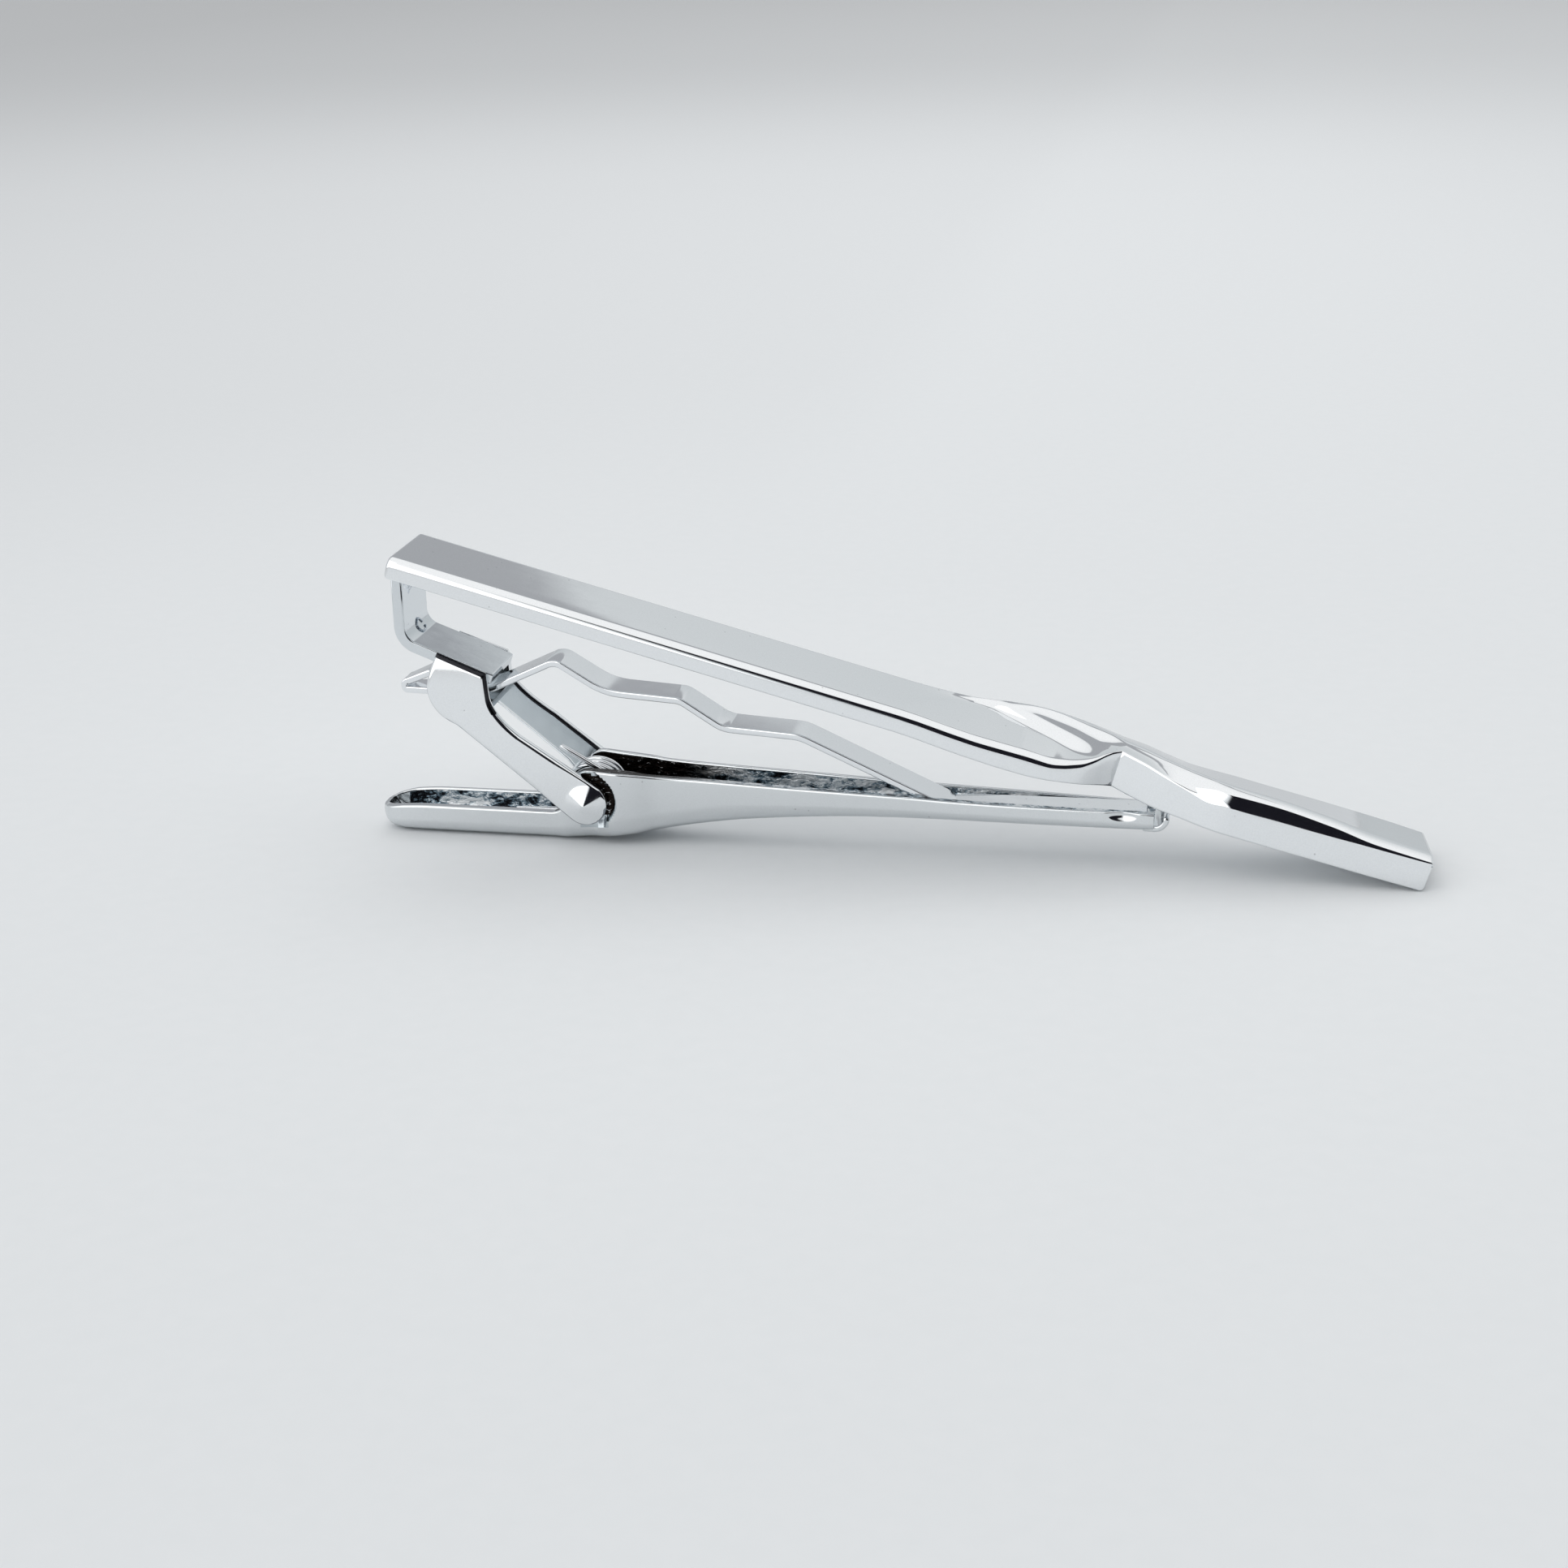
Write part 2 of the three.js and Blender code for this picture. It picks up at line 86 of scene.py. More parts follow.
# ---- camera --------------------------------------------------------------------------------------
def add_camera():
    """A phone's view from the front, a little to the right and 20 degrees above the table."""
    azimuth, elevation, roll = (math.radians(a) for a in (10.495, 19.667, -0.941))
    back = Vector(
        (
            math.sin(azimuth) * math.cos(elevation),
            -math.cos(azimuth) * math.cos(elevation),
            math.sin(elevation),
        )
    )
    level = (-back).cross(Vector((0, 0, 1))).normalized()
    upright = level.cross(-back)
    right = level * math.cos(roll) + upright * math.sin(roll)
    up = upright * math.cos(roll) - level * math.sin(roll)
    data = bpy.data.cameras.new("camera")
    data.sensor_width = 36.0
    data.lens = 57.76
    data.clip_start, data.clip_end = 0.005, 20.0
    camera = bpy.data.objects.new("camera", data)
    bpy.context.scene.collection.objects.link(camera)
    axes = Matrix((right, up, back)).transposed().to_4x4()
    camera.matrix_world = Matrix.Translation((0.0180, -0.12911, 0.05029)) @ axes
    bpy.context.scene.camera = camera


add_camera()


# ---- node helpers --------------------------------------------------------------------------------
class Nodes:
    """A short way to write a node tree."""

    def __init__(self, tree):
        self.tree = tree
        tree.nodes.clear()

    def add(self, kind, inputs=None, **settings):
        node = self.tree.nodes.new("ShaderNode" + kind)
        for key, value in settings.items():
            setattr(node, key, value)
        for key, value in (inputs or {}).items():
            self.set(node.inputs[key], value)
        return node

    def set(self, socket, value):
        if isinstance(value, bpy.types.NodeSocket):
            self.tree.links.new(value, socket)
        else:
            socket.default_value = value

    def math(self, operation, a, b=0.0, clamp=False):
        node = self.add("Math", {0: a, 1: b}, operation=operation, use_clamp=clamp)
        return node.outputs[0]

    def ramp(self, value, low, high, to_low=0.0, to_high=1.0, smooth=True):
        kind = "SMOOTHSTEP" if smooth else "LINEAR"
        inputs = {"Value": value, 1: low, 2: high, 3: to_low, 4: to_high}
        return self.add("MapRange", inputs, interpolation_type=kind).outputs[0]

    def mix(self, factor, a, b):
        node = self.add("Mix", data_type="RGBA")
        self.set(node.inputs["Factor"], factor)
        self.set(node.inputs["A"], a)
        self.set(node.inputs["B"], b)
        return node.outputs["Result"]

    def noise(self, vector, scale, detail=2.0, rough=0.5, distortion=0.0):
        inputs = {
            "Vector": vector,
            "Scale": scale,
            "Detail": detail,
            "Roughness": rough,
            "Distortion": distortion,
        }
        return self.add("TexNoise", inputs).outputs["Fac"]


# ---- studio --------------------------------------------------------------------------------------
TABLE_FILL = 0.95  # how much of the room's light the table gets, next to what the metal mirrors


def add_world():
    """A white room seen by the mirror-bright metal: lit from above, with a few darker things in it."""
    world = bpy.data.worlds.new("white_room")
    bpy.context.scene.world = world
    world.use_nodes = True
    n = Nodes(world.node_tree)
    direction = n.add("SeparateXYZ", {0: n.add("TexCoord").outputs["Generated"]})
    x, y, z = (direction.outputs[i] for i in range(3))
    to_deg = 180 / math.pi
    height = n.math("MULTIPLY", n.math("ARCSINE", z), to_deg)
    in_front = n.math("MULTIPLY", n.math("ARCTAN2", x, n.math("MULTIPLY", y, -1)), to_deg)
    behind = n.math("MULTIPLY", n.math("ARCTAN2", x, y), to_deg)

    def patch(across, left, right, low, high, soft, lean=0.0):
        """How much of a soft-edged rectangle, given in degrees round and up, lies in a direction."""
        leaning = n.math("SUBTRACT", across, n.math("MULTIPLY", height, lean))
        sides = [
            n.ramp(across, left - soft, left + soft),
            n.ramp(leaning, right - soft, right + soft, 1.0, 0.0),
            n.ramp(height, low - soft, low + soft),
            n.ramp(height, high - soft, high + soft, 1.0, 0.0),
        ]
        result = sides[0]
        for side in sides[1:]:
            result = n.math("MULTIPLY", result, side)
        return result

    colour = n.mix(n.ramp(height, 8, 58), (0.60, 0.63, 0.645, 1), (1.0, 1.0, 1.0, 1))
    window = patch(in_front, -80, -5, -5, 66, 2)
    grey_wall = patch(behind, -60, -37.1, 8, 40, 0.9, 1.5)
    photographer = patch(in_front, -2, 78, -12, 42, 1.5)
    colour = n.mix(window, colour, (1.5, 1.5, 1.5, 1))
    colour = n.mix(grey_wall, colour, (0.40, 0.41, 0.43, 1))
    colour = n.mix(photographer, colour, (0.010, 0.010, 0.014, 1))
    rays = n.add("LightPath")
    colour = n.mix(rays.outputs["Is Camera Ray"], colour, (0.70, 0.72, 0.725, 1))
    strength = n.ramp(rays.outputs["Is Diffuse Ray"], 0, 1, 1.0, TABLE_FILL)
    background = n.add("Background", {"Color": colour, "Strength": strength})
    output = n.add("OutputWorld")
    n.tree.links.new(background.outputs[0], output.inputs["Surface"])


def add_floor():
    """A plain pale table, with painted shade that makes it a little darker far off and towards its sides."""
    mesh = bpy.data.meshes.new("floor")
    half = 6.0
    corners = [(-half, -half, 0), (half, -half, 0), (half, half, 0), (-half, half, 0)]
    mesh.from_pydata(corners, [], [(0, 1, 2, 3)])
    floor = bpy.data.objects.new("floor", mesh)
    bpy.context.scene.collection.objects.link(floor)
    material = bpy.data.materials.new("pale_table")
    material.use_nodes = True
    n = Nodes(material.node_tree)
    where = n.add("TexCoord").outputs["Object"]
    grain = n.noise(where, 900.0, 3.0)
    colour = n.mix(grain, (0.80, 0.825, 0.84, 1), (0.83, 0.85, 0.865, 1))
    away = n.add("VectorMath", {0: where}, operation="LENGTH").outputs["Value"]
    # Painted shade: the table's colour darkens far off and towards its sides, where the light falls off.
    colour = n.mix(n.ramp(away, 0.05, 1.2, 0.0, 1.0, False), colour, (0.58, 0.59, 0.60, 1))
    colour = n.mix(n.ramp(away, 0.024, 0.06, 0.0, 0.08), colour, (0.60, 0.61, 0.63, 1))
    across = n.add("SeparateXYZ", {0: where}).outputs[0]
    left = n.ramp(across, -0.42, -0.03, 0.75, 0.10, False)
    left = n.math("MULTIPLY", left, n.ramp(across, -0.03, -0.01, 1.0, 0.0))
    right = n.ramp(across, 0.03, 0.45, 0.0, 0.40, False)
    side = n.math("ADD", left, right)
    colour = n.mix(n.math("MULTIPLY", side, n.ramp(away, 0.04, 0.15)), colour, (0.50, 0.51, 0.52, 1))
    shader = n.add("BsdfPrincipled", {"Base Color": colour, "Roughness": 0.65})
    output = n.add("OutputMaterial")
    n.tree.links.new(shader.outputs[0], output.inputs["Surface"])
    mesh.materials.append(material)


def add_light(name, place, target, size, power):
    data = bpy.data.lights.new(name, "AREA")
    data.shape = "DISK"
    data.size = size
    data.energy = power
    light = bpy.data.objects.new(name, data)
    light.location = place
    light.rotation_mode = "QUATERNION"
    light.rotation_quaternion = (Vector(target) - Vector(place)).to_track_quat("-Z", "Y")
    light.visible_glossy = False
    bpy.context.scene.collection.objects.link(light)


add_world()
add_floor()
add_light("soft_overhead", (-0.08, 0.33, 0.34), (0, 0, 0), 0.36, 0.30)
bpy.context.scene.view_settings.view_transform = "Standard"
bpy.context.scene.view_settings.look = "None"


# ---- materials -----------------------------------------------------------------------------------
def polished(name, tint, rough, grain=0.25, ripple=0.3, stretch=(1, 1, 1)):
    """Bright plating: fine grain over faint ripples, a few tiny pits, and painted shade where it turns away
    from the view.
    """
    material = bpy.data.materials.new(name)
    material.use_nodes = True
    n = Nodes(material.node_tree)
    place = n.add("TexCoord").outputs["Object"]
    where = n.add("Mapping", {"Vector": place, "Scale": stretch}).outputs[0]
    fine = n.noise(where, 14000.0, 2.0, 0.6)
    broad = n.noise(where, 900.0, 2.0, 0.5)
    cells = n.add("TexVoronoi", {"Vector": place, "Scale": 900.0, "Randomness": 1.0})
    pits = n.ramp(cells.outputs["Distance"], 0.03, 0.06, 1.0, 0.0)
    shade = n.mix(n.ramp(fine, 0.3, 0.7), (*(t * 0.955 for t in tint), 1), (*tint, 1))
    shade = n.mix(n.math("MULTIPLY", pits, 0.45), shade, (0.25, 0.26, 0.28, 1))
    # Painted shade: the colour darkens where the surface turns away from the view, outlining the edges.
    painted_rim_shade = n.ramp(n.add("LayerWeight", {"Blend": 0.5}).outputs["Facing"], 0.72, 0.97)
    shade = n.mix(n.math("MULTIPLY", painted_rim_shade, 0.75), shade, (0.12, 0.14, 0.17, 1))
    roughness = n.ramp(broad, 0.3, 0.7, rough * 0.8, rough * 1.25)
    height = n.math("ADD", n.math("MULTIPLY", fine, grain), n.math("MULTIPLY", broad, ripple * 6))
    height = n.math("SUBTRACT", height, n.math("MULTIPLY", pits, 0.5))
    bump = n.add("Bump", {"Height": height, "Strength": 1.0, "Distance": 0.0000012})
    inputs = {
        "Base Color": shade,
        "Metallic": 1.0,
        "Roughness": roughness,
        "Normal": bump.outputs[0],
    }
    shader = n.add("BsdfPrincipled", inputs)
    output = n.add("OutputMaterial")
    n.tree.links.new(shader.outputs[0], output.inputs["Surface"])
    return material


def rough_plating_and_recess_shade(name):
    """The inside of the lever: unpolished, mottled plating with bright specks and dark blue stains."""
    material = bpy.data.materials.new(name)
    material.use_nodes = True
    n = Nodes(material.node_tree)
    place = n.add("TexCoord").outputs["Object"]
    along = n.add("Mapping", {"Vector": place, "Scale": (0.45, 1, 1)}).outputs[0]
    patches = n.noise(along, 1100.0, 4.0, 0.66, 0.8)
    specks = n.noise(along, 4600.0, 3.0, 0.75, 0.4)
    mottle = n.math("ADD", n.math("MULTIPLY", patches, 0.55), n.math("MULTIPLY", specks, 0.45))
    colours = n.add("ValToRGB", {"Fac": mottle})
    ramp = colours.color_ramp
    ramp.elements[0].position, ramp.elements[0].color = 0.43, (0.012, 0.013, 0.016, 1)
    ramp.elements[1].position, ramp.elements[1].color = 0.545, (0.95, 0.97, 0.98, 1)
    middle = ramp.elements.new(0.48)
    middle.color = (0.20, 0.28, 0.34, 1)
    x = n.add("SeparateXYZ", {0: place}).outputs[0]
    behind_coil = n.ramp(x, -0.0190, -0.0180)
    near_pivot = n.math("MULTIPLY", n.ramp(x, -0.0122, -0.0082, 1.0, 0.0), behind_coil)
    stain = n.math("MULTIPLY", near_pivot, n.ramp(specks, 0.60, 0.70, 1.0, 0.25))
    shade = n.mix(stain, colours.outputs[0], (0.012, 0.009, 0.008, 1))
    bump = n.add("Bump", {"Height": specks, "Strength": 1.0, "Distance": 0.00006})
    roughness = n.ramp(patches, 0.35, 0.65, 0.12, 0.38)
    inputs = {
        "Base Color": shade,
        "Metallic": 1.0,
        "Roughness": roughness,
        "Normal": bump.outputs[0],
    }
    shader = n.add("BsdfPrincipled", inputs)
    output = n.add("OutputMaterial")
    n.tree.links.new(shader.outputs[0], output.inputs["Surface"])
    return material


def solder_metal(name):
    """Dull, lumpy solder under the plating."""
    material = bpy.data.materials.new(name)
    material.use_nodes = True
    n = Nodes(material.node_tree)
    place = n.add("TexCoord").outputs["Object"]
    lumps = n.noise(place, 1500.0, 3.0, 0.6, 0.4)
    shade = n.mix(n.ramp(lumps, 0.35, 0.65), (0.42, 0.47, 0.53, 1), (0.82, 0.86, 0.90, 1))
    bump = n.add("Bump", {"Height": lumps, "Strength": 1.0, "Distance": 0.00005})
    inputs = {"Base Color": shade, "Metallic": 1.0, "Normal": bump.outputs[0]}
    shader = n.add("BsdfPrincipled", inputs)
    n.set(shader.inputs["Roughness"], n.ramp(lumps, 0.3, 0.7, 0.15, 0.3))
    output = n.add("OutputMaterial")
    n.tree.links.new(shader.outputs[0], output.inputs["Surface"])
    return material


BAR_METAL = polished("bar_chrome", (0.88, 0.90, 0.915), 0.06, 0.20, 0.10)
CRADLE_METAL = polished("cradle_chrome", (0.88, 0.90, 0.915), 0.09, 0.40, 0.25)
# Painted shade: the bracket and the lever get the bar's chrome with a darker tint, for the shaded table and
# surroundings they mirror.
BRACKET_SHADED_CHROME = polished("bracket_chrome_painted_shade", (0.73, 0.765, 0.79), 0.12, 0.35, 0.5)
LEVER_SHADED_CHROME = polished("lever_chrome", (0.76, 0.785, 0.80), 0.13, 0.55, 0.25)
LEAF_METAL = polished("leaf_chrome", (0.86, 0.88, 0.90), 0.09, 0.3, 0.15)
WIRE_METAL = polished("wire_steel", (0.84, 0.86, 0.88), 0.12, 0.4, 0.1, (0.2, 1, 1))
PIN_METAL = polished("pin_steel", (0.80, 0.82, 0.84), 0.16, 0.5, 0.1)
# This material is the lever's rough inside and also paints the shadow in the recess beside the arm's end.
ROUGH_INSIDE_AND_RECESS_SHADE = rough_plating_and_recess_shade("rough_plating_and_recess_shade")
SOLDER_METAL = solder_metal("solder_tin")
# Painted shadow: a near-black line along the front plate's crimped head where it meets the leg, and a painted
# dark line on the rear plate's inside.
SHADOW_LINE_METAL = polished("painted_shadow_line", (0.035, 0.035, 0.04), 0.25, 0.5, 0.3)
# A rougher plating whose darker tint is painted shade, for the rear plate's inside and the recess beside the
# arm's end.
MATT_SHADED_METAL = polished("satin_chrome_painted_shade", (0.56, 0.61, 0.64), 0.2, 0.8, 0.5)
# Painted shade: a dark band along the front plate's lower edge.
LOW_EDGE_SHADE_METAL = polished("painted_low_edge_shade", (0.30, 0.32, 0.35), 0.2, 0.5, 0.3)


# ---- mesh helpers --------------------------------------------------------------------------------
def columns_of(rows):
    """Columns of a table read at any station, with an even curve between its rows and no overshoot."""
    table = np.array(rows, float)
    at, values = table[:, 0], table[:, 1:]
    steps = np.diff(values, axis=0) / np.diff(at)[:, None]
    slopes = np.zeros_like(values)
    slopes[0], slopes[-1] = steps[0], steps[-1]
    both = steps[:-1] * steps[1:]
    total = np.where(both > 0, steps[:-1] + steps[1:], 1.0)
    slopes[1:-1] = np.where(both > 0, 2 * both / total, 0.0)

    def read(x):
        x = min(max(x, at[0]), at[-1])
        i = min(len(at) - 2, int(np.searchsorted(at, x, side="right")) - 1)
        gap = at[i + 1] - at[i]
        t = (x - at[i]) / gap
        start = values[i] * (1 + 2 * t) * (1 - t) ** 2 + slopes[i] * gap * t * (1 - t) ** 2
        end = values[i + 1] * t * t * (3 - 2 * t) + slopes[i + 1] * gap * t * t * (t - 1)
        return start + end

    return read


def softened(corners, reaches, points=6):
    """A closed outline whose corners are eased into curves that start `reach` before each corner."""
    corners = [np.array(c, float) for c in corners]
    outline = []
    for i, (corner, reach) in enumerate(zip(corners, reaches)):
        back = corners[i - 1] - corner
        ahead = corners[(i + 1) % len(corners)] - corner
        start = corner + back * min(reach / np.linalg.norm(back), 0.48)
        end = corner + ahead * min(reach / np.linalg.norm(ahead), 0.48)
        for k in range(points + 1):
            t = k / points
            outline.append((1 - t) ** 2 * start + 2 * t * (1 - t) * corner + t * t * end)
    return outline


def rounded_path(corners, step_deg=6.0):
    """The polyline of (x, z, radius) corners with every inner corner rounded by an arc."""
    points = [np.array(c[:2], float) for c in corners]
    path = [points[0]]
    for i in range(1, len(points) - 1):
        back = points[i - 1] - points[i]
        ahead = points[i + 1] - points[i]
        back, ahead = back / np.linalg.norm(back), ahead / np.linalg.norm(ahead)
        turn = math.pi - math.acos(max(-1.0, min(1.0, float(back @ ahead))))
        radius = corners[i][2]
        side = math.copysign(1.0, back[0] * ahead[1] - back[1] * ahead[0])
        start = points[i] + back * radius * math.tan(turn / 2)
        centre = start + np.array((-back[1], back[0])) * side * radius
        count = max(3, math.ceil(math.degrees(turn) / step_deg))
        for k in range(count + 1):
            a = -side * turn * k / count
            arm = start - centre
            spun = (
                arm[0] * math.cos(a) - arm[1] * math.sin(a),
                arm[0] * math.sin(a) + arm[1] * math.cos(a),
            )
            path.append(centre + np.array(spun))
    return [*path, points[-1]]


def make_piece(name, points, faces, materials, face_materials=None, sharp=38.0):
    """A smooth-shaded mesh object from points in the drawing frame."""
    mesh = bpy.data.meshes.new(name)
    mesh.from_pydata([placed(p) for p in points], [], faces)
    for material in materials:
        mesh.materials.append(material)
    if face_materials is not None:
        mesh.polygons.foreach_set("material_index", face_materials)
    work = bmesh.new()
    work.from_mesh(mesh)
    bmesh.ops.recalc_face_normals(work, faces=work.faces)
    work.to_mesh(mesh)
    work.free()
    mesh.shade_smooth()
    mesh.set_sharp_from_angle(angle=math.radians(sharp))
    piece = bpy.data.objects.new(name, mesh)
    bpy.context.scene.collection.objects.link(piece)
    return piece


def loft_faces(ring_count, ring_size, first=0):
    """Quads between equal closed rings and a face at each end."""
    faces = []
    for r in range(ring_count - 1):
        for i in range(ring_size):
            a, b = first + r * ring_size + i, first + r * ring_size + (i + 1) % ring_size
            faces.append((a, b, b + ring_size, a + ring_size))
    last = first + (ring_count - 1) * ring_size
    faces.append(tuple(range(first, first + ring_size)))
    faces.append(tuple(range(last, last + ring_size)))
    return faces


def loft(name, rings, materials, sharp=38.0):
    points = [p for ring in rings for p in ring]
    return make_piece(name, points, loft_faces(len(rings), len(rings[0])), materials, None, sharp)


def even_shading(piece):
    """Normals weighted by face size, so that flats stay flat beside their rounded edges."""
    modifier = piece.modifiers.new("even_shading", "WEIGHTED_NORMAL")
    modifier.keep_sharp = True
    modifier.weight = 80


def strip(name, corners, thick, half, edge, materials, width=lambda x: 1.0):
    """A sheet-metal strip along a rounded path in x and z, with eased edges and ends."""
    path = rounded_path(corners)
    rings = []
    last = len(path) - 1
    for i, here in enumerate(path):
        along = path[min(last, i + 1)] - path[max(0, i - 1)]
        along = along / np.linalg.norm(along)
        out = np.array((-along[1], along[0]))
        shrinks = [0.0]
        if i == 0:
            shrinks = [1.0, 0.3, 0.0]
        if i == last:
            shrinks = [0.0, 0.3, 1.0]
        for shrink in shrinks:
            inset = edge * shrink
            shift = along * edge * (1 - math.sqrt(1 - (1 - shrink) ** 2))
            spot = here + (shift if i == 0 else -shift)
            w, t = half * width(here[0]) - inset, thick / 2 - inset
            section = softened([(-w, -t), (w, -t), (w, t), (-w, t)], [edge] * 4, 4)
            rings.append([(spot[0] + h * out[0], y, spot[1] + h * out[1]) for y, h in section])
    piece = loft(name, rings, materials)
    even_shading(piece)
    return piece


def tube(name, path, radius, materials, sides=14):
    """A round wire along a path of points, with rounded ends."""
    path = [np.array(p, float) for p in path]
    tangents = [path[min(len(path) - 1, i + 1)] - path[max(0, i - 1)] for i in range(len(path))]
    tangents = [t / np.linalg.norm(t) for t in tangents]
    side = np.cross(tangents[0], (0.0, 1.0, 0.0))
    side = side / np.linalg.norm(side)
    rings = []
    for i, (here, along) in enumerate(zip(path, tangents)):
        side = side - along * (side @ along)
        side = side / np.linalg.norm(side)
        other = np.cross(along, side)
        bevels = [(0.0, radius)]
        if i == 0:
            bevels = [(0.0, radius * 0.4), (0.3 * radius, radius * 0.85), (radius, radius)]
        if i == len(path) - 1:
            bevels = [(-radius, radius), (-0.3 * radius, radius * 0.85), (0.0, radius * 0.4)]
        for shift, r in bevels:
            ring = []
            for k in range(sides):
                a = 2 * math.pi * k / sides
                ring.append(here + along * shift + (side * math.cos(a) + other * math.sin(a)) * r)
            rings.append(ring)
    return loft(name, rings, materials)


def evenly(start, end, step):
    return list(np.linspace(start, end, max(2, math.ceil(abs(end - start) / step) + 1)))


# ---- the bar -------------------------------------------------------------------------------------
# Along the bar: y and height of the front edge, of the foot and brow of the first rise, of the shelf
# above it and of the crest, then the heights of the back edge and of the bottom.
FIRST_SECTION = columns_of(
    [
        [0, -2.88, 0, -1, 0, 0.4, 0, 1.5, 0, 2.2, 0, 0, -1.2],
        [29, -2.88, 0, -1, 0, 0.4, 0, 1.5, 0, 2.2, 0, 0, -1.2],
        [32, -2.88, -0.15, 2, -0.03, 2.2, -0.02, 2.4, 0, 2.55, 0.05, 0.1, -1.36],
        [33.4, -2.88, -0.2, 2.3, -0.04, 2.4, 0.05, 2.5, 0.12, 2.6, 0.22, 0.3, -1.42],
        [34.7, -2.88, -0.18, 1.75, -0.04, 2, 0.3, 2.2, 0.42, 2.55, 0.52, 0.52, -1.45],
        [36, -2.88, -0.16, 1, -0.04, 1.5, 0.41, 2.2, 0.52, 2.6, 0.72, 0.64, -1.44],
        [37.3, -2.85, -0.2, 0.28, -0.05, 0.85, 0.4, 1.9, 0.52, 2.4, 0.82, 0.67, -1.36],
        [38.2, -2.75, -0.05, -0.5, -0.04, 0.4, 0.41, 1.55, 0.53, 2.1, 0.83, 0.65, -1.25],
        [39, -2.45, 0.12, -1.1, 0.08, 0, 0.39, 1.1, 0.53, 1.8, 0.84, 0.6, -1.21],
        [39.6, -2.05, 0.32, -1.3, 0.29, -0.5, 0.36, 0.8, 0.56, 1.4, 0.9, 0.54, -1.21],
        [40.3, -1.52, 0.7, -1.15, 0.68, -0.6, 0.66, 0.3, 0.66, 1, 0.96, 0.46, -1.21],
        [40.9, -1.1, 0.86, -0.9, 0.87, -0.6, 0.87, -0.1, 0.88, 0.5, 0.98, 0.4, -1.22],
    ]
)
SECOND_SECTION = columns_of(
    [
        [40.9, -1.1, 0.86, -0.9, 0.87, -0.6, 0.87, -0.1, 0.88, 0.5, 0.98, 0.4, -1.22],
        [42.2, -1.7, 0.79, -1.5, 0.8, -1.1, 0.82, -0.6, 0.86, 0, 1, 0.33, -1.3],
        [43.4, -2.15, 0.6, -1.95, 0.63, -1.6, 0.7, -1, 0.84, -0.5, 0.97, 0.16, -1.35],
        [45, -2.5, 0.28, -2.35, 0.47, -2.2, 0.62, -1.7, 0.87, -1.2, 1, 0, -1.36],
        [46.2, -2.76, 0, -2.68, 0.42, -2.5, 0.82, -2.1, 0.99, -1.7, 1.06, 0.02, -1.38],
        [47.3, -2.88, 0.1, -2.86, 0.22, -2.66, 0.9, -2.3, 1.02, -1.9, 1.07, 0.06, -1.37],
        [49.4, -2.88, 0.13, -2.86, 0.25, -2.7, 0.96, -2.35, 1.06, -1.9, 1.08, 0.08, -1.35],
        [52.4, -2.88, 0.22, -2.86, 0.32, -2.74, 0.82, -2.4, 0.93, -2, 0.96, 0.12, -1.3],
        [54.9, -2.88, 0.29, -2.87, 0.37, -2.79, 0.58, -2.5, 0.69, -2.1, 0.74, 0.13, -1.27],
        [58, -2.88, 0.4, -2.87, 0.44, -2.83, 0.52, -2.5, 0.63, -2.2, 0.68, 0.06, -1.2],
    ]
)
FIRST_REACHES = [0.12, 0.6, 0.3, 0.35, 0.35, 0.4, 0.3, 0.12]
SECOND_REACHES = [0.12, 0.14, 0.1, 0.16, 0.35, 0.4, 0.3, 0.12]
CREASE = 40.9


def on_bar(s, y, h):
    c, d = math.cos(BAR_SLOPE), math.sin(BAR_SLOPE)
    return (s * c + h * d, y, BAR_START_Z - s * d + h * c)


def under_bar(x):
    return BAR_START_Z - BAR_THICK / math.cos(BAR_SLOPE) - x * BAR_FALL


def bar_ring(s, shrink, section):
    *ridges, back_h, bottom = section(s)
    front_y, front_h = ridges[:2]
    reaches = FIRST_REACHES if section is FIRST_SECTION else SECOND_REACHES
    corners = [(front_y + shrink, bottom + shrink), (front_y + shrink, front_h - shrink)]
    corners += [(y, h - shrink) for y, h in zip(ridges[2::2], ridges[3::2])]
    corners += [(BAR_HALF - shrink, back_h - shrink), (BAR_HALF - shrink, bottom + shrink)]
    return [on_bar(s, y, h) for y, h in softened(corners, reaches, 7)]


def build_bar():
    """The front bar, lofted through its sections, which turn over at the crease in the twist."""
    bevel = 0.22
    ease = [k * math.pi / 10 for k in range(6)]
    eased = [(bevel * (1 - math.cos(a)), bevel * (1 - math.sin(a))) for a in ease]
    rings = [bar_ring(s, shrink, FIRST_SECTION) for s, shrink in eased]
    rings += [bar_ring(s, 0, FIRST_SECTION) for s in evenly(0.6, 31, 1.0)]
    rings += [bar_ring(s, 0, FIRST_SECTION) for s in evenly(31.3, CREASE, 0.15)]
    rings += [bar_ring(s, 0, SECOND_SECTION) for s in evenly(CREASE + 0.15, 50, 0.15)]
    rings += [bar_ring(s, 0, SECOND_SECTION) for s in evenly(50.4, BAR_LENGTH - 0.5, 0.4)]
    rings += [bar_ring(BAR_LENGTH - s, shrink, SECOND_SECTION) for s, shrink in reversed(eased)]
    bar = loft("bar", rings, [BAR_METAL], 30.0)
    even_shading(bar)
    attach(bar, "clip_frame")
    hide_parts("front_bar")


# ---- the bracket and its solder ------------------------------------------------------------------
POST_X, LEG_END_X = 0.12, 5.25


def leg_top(x):
    return 11.73 - LEG_FALL * x


